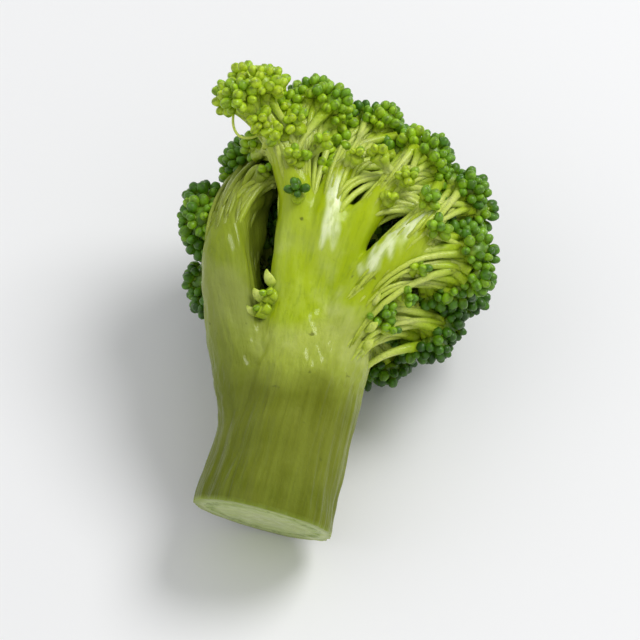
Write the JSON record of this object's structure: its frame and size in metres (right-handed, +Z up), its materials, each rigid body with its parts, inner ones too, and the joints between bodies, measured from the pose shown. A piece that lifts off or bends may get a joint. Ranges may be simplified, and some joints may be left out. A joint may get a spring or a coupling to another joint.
{
  "type": "broccoli floret",
  "caption": "Broccoli floret lying on its side: a thick cut stalk that forks into branches under a rounded crown of bud heads, open at the front.",
  "frame": {"origin": "on the surface it rests on, below the middle of its outline in plan", "axes": "+Y from the cut end of the stalk towards the crown, +Z up, with the crown's open front facing up; +X to the right as seen from the cut end"},
  "size_m": [0.0416, 0.0556, 0.037],
  "materials": {
    "stem": "wet, waxy, pale lime to olive",
    "buds": "beaded, moist, deep green"
  },
  "bodies": {
    "root": {"branch_back_left": "stem", "branch_back_right": "stem", "branch_left": "stem", "branch_middle": "stem", "branch_right": "stem", "bud_head_back_left_1": "buds", "bud_head_back_left_2": "buds", "bud_head_back_left_3": "buds", "bud_head_back_left_4": "buds", "bud_head_back_right_1": "buds", "bud_head_back_right_2": "buds", "bud_head_back_right_3": "buds", "bud_head_back_right_4": "buds", "bud_head_back_right_5": "buds", "bud_head_left_1": "buds", "bud_head_left_2": "buds", "bud_head_left_3": "buds", "bud_head_middle_1": "buds", "bud_head_middle_2": "buds", "bud_head_middle_3": "buds", "bud_head_middle_4": "buds", "bud_head_right_1": "buds", "bud_head_right_2": "buds", "bud_head_right_3": "buds", "stalk": "stem"}
  },
  "joints": []
}
